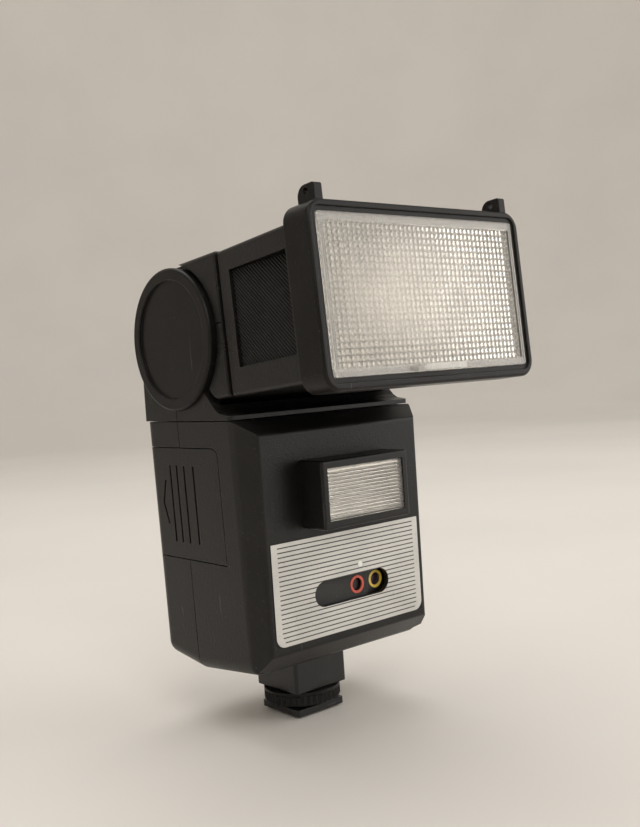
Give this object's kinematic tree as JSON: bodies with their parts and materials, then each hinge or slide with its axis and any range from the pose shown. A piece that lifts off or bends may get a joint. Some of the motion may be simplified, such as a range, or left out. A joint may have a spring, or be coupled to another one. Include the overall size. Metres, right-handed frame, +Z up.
{
  "type": "speedlight flash",
  "caption": "Shoe-mount camera flash with battery body, swivelling turret, tilting zoom head, wide lens, small fill flash and a knurled lock wheel.",
  "frame": {"origin": "centre of the shoe plate's underside", "axes": "+Z up through the body, the front of the flash faces -Y, +X to the right of a person who looks at the front"},
  "size_m": [0.0802, 0.0995, 0.1546],
  "materials": {
    "body_plastic": "fine moulded texture, satin",
    "foot_plastic": "satin",
    "smooth_plastic": "semi gloss",
    "grip_plastic": "ribbed",
    "label_metal": "satin silver with dark lines",
    "clear_lens": "clear moulded prisms",
    "mirror_sheet": "bright",
    "flash_glass": "clear",
    "rubber": "soft",
    "red_plastic": "gloss",
    "yellow_plastic": "gloss",
    "sensor_glass": "dark",
    "grey_plastic": "satin",
    "contact_brass": "plated",
    "spring_steel": "drawn wire",
    "steel": "blackened",
    "cell_can": "wrapped can",
    "board": "printed board",
    "capacitor_can": "sleeved can",
    "winding": "taped core",
    "scale_print": "printed scale",
    "lamp": "amber"
  },
  "bodies": {
    "body": {"body_front_shell": "body_plastic", "body_rear_shell": "body_plastic", "label_plate": "label_metal", "fill_flash_hood": "body_plastic", "fill_flash_window": "clear_lens", "fill_flash_reflector": "mirror_sheet", "fill_flash_tube": "flash_glass", "photo_sensor": "sensor_glass", "sensor_holder": "foot_plastic", "yellow_ring": "yellow_plastic", "battery_tray": "foot_plastic", "battery_contacts": "contact_brass", "aa_cell_1": "cell_can", "aa_cell_2": "cell_can", "aa_cell_3": "cell_can", "aa_cell_4": "cell_can", "main_circuit_board": "board", "main_capacitor": "capacitor_can", "transformer": "winding", "switching_transistor": "steel", "foot_block": "foot_plastic", "shoe_plate": "foot_plastic", "contact_pin_spring": "spring_steel", "body_screws": "steel", "rear_scale_plate": "scale_print", "ready_lamp": "lamp"},
    "lock_wheel": {"lock_wheel": "smooth_plastic"},
    "pressure_ring": {"pressure_ring": "foot_plastic"},
    "contact_pin": {"contact_pin": "contact_brass"},
    "aperture_slider": {"aperture_slider": "grey_plastic", "red_ring": "red_plastic"},
    "battery_door": {"battery_door": "body_plastic", "door_contacts": "contact_brass"},
    "calculator_dial": {"calculator_dial": "smooth_plastic"},
    "power_switch": {"power_switch": "smooth_plastic"},
    "fill_flash_switch": {"fill_flash_switch": "smooth_plastic"},
    "test_button": {"test_button": "smooth_plastic"},
    "turret": {"turret_front": "body_plastic", "turret_rear": "body_plastic", "swivel_hub": "foot_plastic", "swivel_retaining_ring": "steel", "pivot_cap_left": "smooth_plastic", "pivot_cap_right": "smooth_plastic"},
    "head": {"head_top_shell": "body_plastic", "head_bottom_shell": "body_plastic", "inner_barrel": "foot_plastic", "pivot_axle_left": "foot_plastic", "pivot_axle_right": "foot_plastic", "axle_clips": "steel", "main_reflector": "mirror_sheet", "main_flash_tube": "flash_glass", "tube_grommets": "rubber", "trigger_coil": "winding"},
    "zoom": {"zoom_sleeve": "body_plastic", "zoom_grip_left": "grip_plastic", "zoom_grip_right": "grip_plastic", "lens_bezel": "smooth_plastic", "fixed_lens": "clear_lens"},
    "wide_panel": {"wide_panel": "clear_lens"}
  },
  "joints": [
    {"name": "head_tilt", "type": "hinge", "parent": "turret", "child": "head", "pos_m": [0, 0.00533, 0.11937], "axis": [-1, 0, 0], "range_deg": [-4.26, 85.74]},
    {"name": "turret_swivel", "type": "hinge", "parent": "body", "child": "turret", "pos_m": [0, 0.0026, 0.0946], "axis": [0, 0, 1], "range_deg": [-90, 90]},
    {"name": "zoom_slide", "type": "slide", "parent": "head", "child": "zoom", "axis": [0, -0.9972, 0.0743], "range_m": [0, 0.012]},
    {"name": "wide_panel_pull", "type": "slide", "parent": "zoom", "child": "wide_panel", "axis": [0, -0.9972, 0.0743], "range_m": [0, 0.008]},
    {"name": "battery_door_slide", "type": "slide", "parent": "body", "child": "battery_door", "axis": [0, 1, 0], "range_m": [0, 0.038]},
    {"name": "aperture_slider_shift", "type": "slide", "parent": "body", "child": "aperture_slider", "axis": [1, 0, 0], "range_m": [0, 0.0086]},
    {"name": "lock_wheel_turn", "type": "hinge", "parent": "body", "child": "lock_wheel", "pos_m": [0, 0, 0.005], "axis": [0, 0, 1], "range_deg": [0, 360]},
    {"name": "pressure_ring_travel", "type": "slide", "parent": "body", "child": "pressure_ring", "axis": [0, 0, 1], "range_m": [0, 0.001]},
    {"name": "contact_pin_travel", "type": "slide", "parent": "body", "child": "contact_pin", "axis": [0, 0, 1], "range_m": [0, 0.0007], "stiffness_N_per_m": 250, "springref_m": -0.0015, "deforming": ["contact_pin_spring"]},
    {"name": "calculator_dial_turn", "type": "hinge", "parent": "body", "child": "calculator_dial", "pos_m": [0, 0.0262, 0.066], "axis": [0, 1, 0], "continuous": true},
    {"name": "power_switch_slide", "type": "slide", "parent": "body", "child": "power_switch", "axis": [1, 0, 0], "range_m": [0, 0.005]},
    {"name": "fill_flash_switch_slide", "type": "slide", "parent": "body", "child": "fill_flash_switch", "axis": [1, 0, 0], "range_m": [0, 0.005]},
    {"name": "test_button_press", "type": "slide", "parent": "body", "child": "test_button", "axis": [0, -1, 0], "range_m": [0, 0.0008], "stiffness_N_per_m": 250, "springref_m": -0.001}
  ],
  "couplings": [
    {"joint": "lock_wheel_turn", "follows": "pressure_ring_travel", "rad_per_m": 6283.2}
  ]
}
